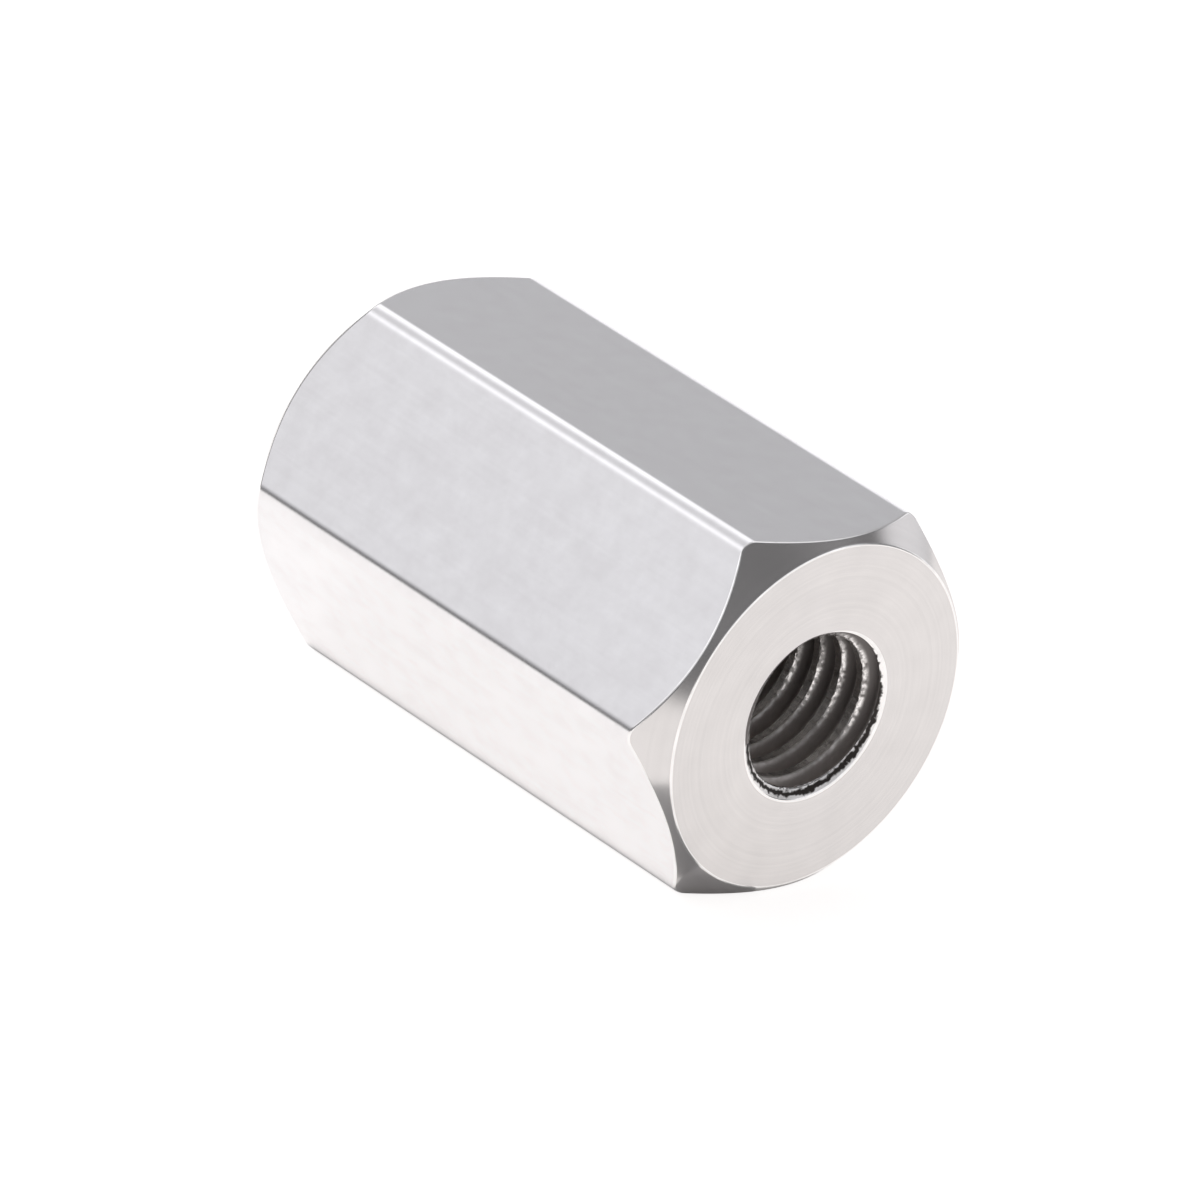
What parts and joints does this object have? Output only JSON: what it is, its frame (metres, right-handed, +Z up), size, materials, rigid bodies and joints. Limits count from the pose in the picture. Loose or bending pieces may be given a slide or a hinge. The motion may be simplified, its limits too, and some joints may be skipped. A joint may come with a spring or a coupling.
{
  "type": "hex coupling",
  "caption": "Long hexagon coupling nut with chamfered ends and a threaded through bore, for joining threaded rods end to end.",
  "frame": {"origin": "centre of the bore at mid-length", "axes": "+X along the bore axis, +Z up from the flat it lies on, +Y level with the corner beside the bore"},
  "size_m": [0.02, 0.0136, 0.012],
  "materials": {
    "stainless_steel": "bright drawn flats, fine turned ends, cut thread"
  },
  "bodies": {
    "root": {"hex_coupling": "stainless_steel"}
  },
  "joints": []
}
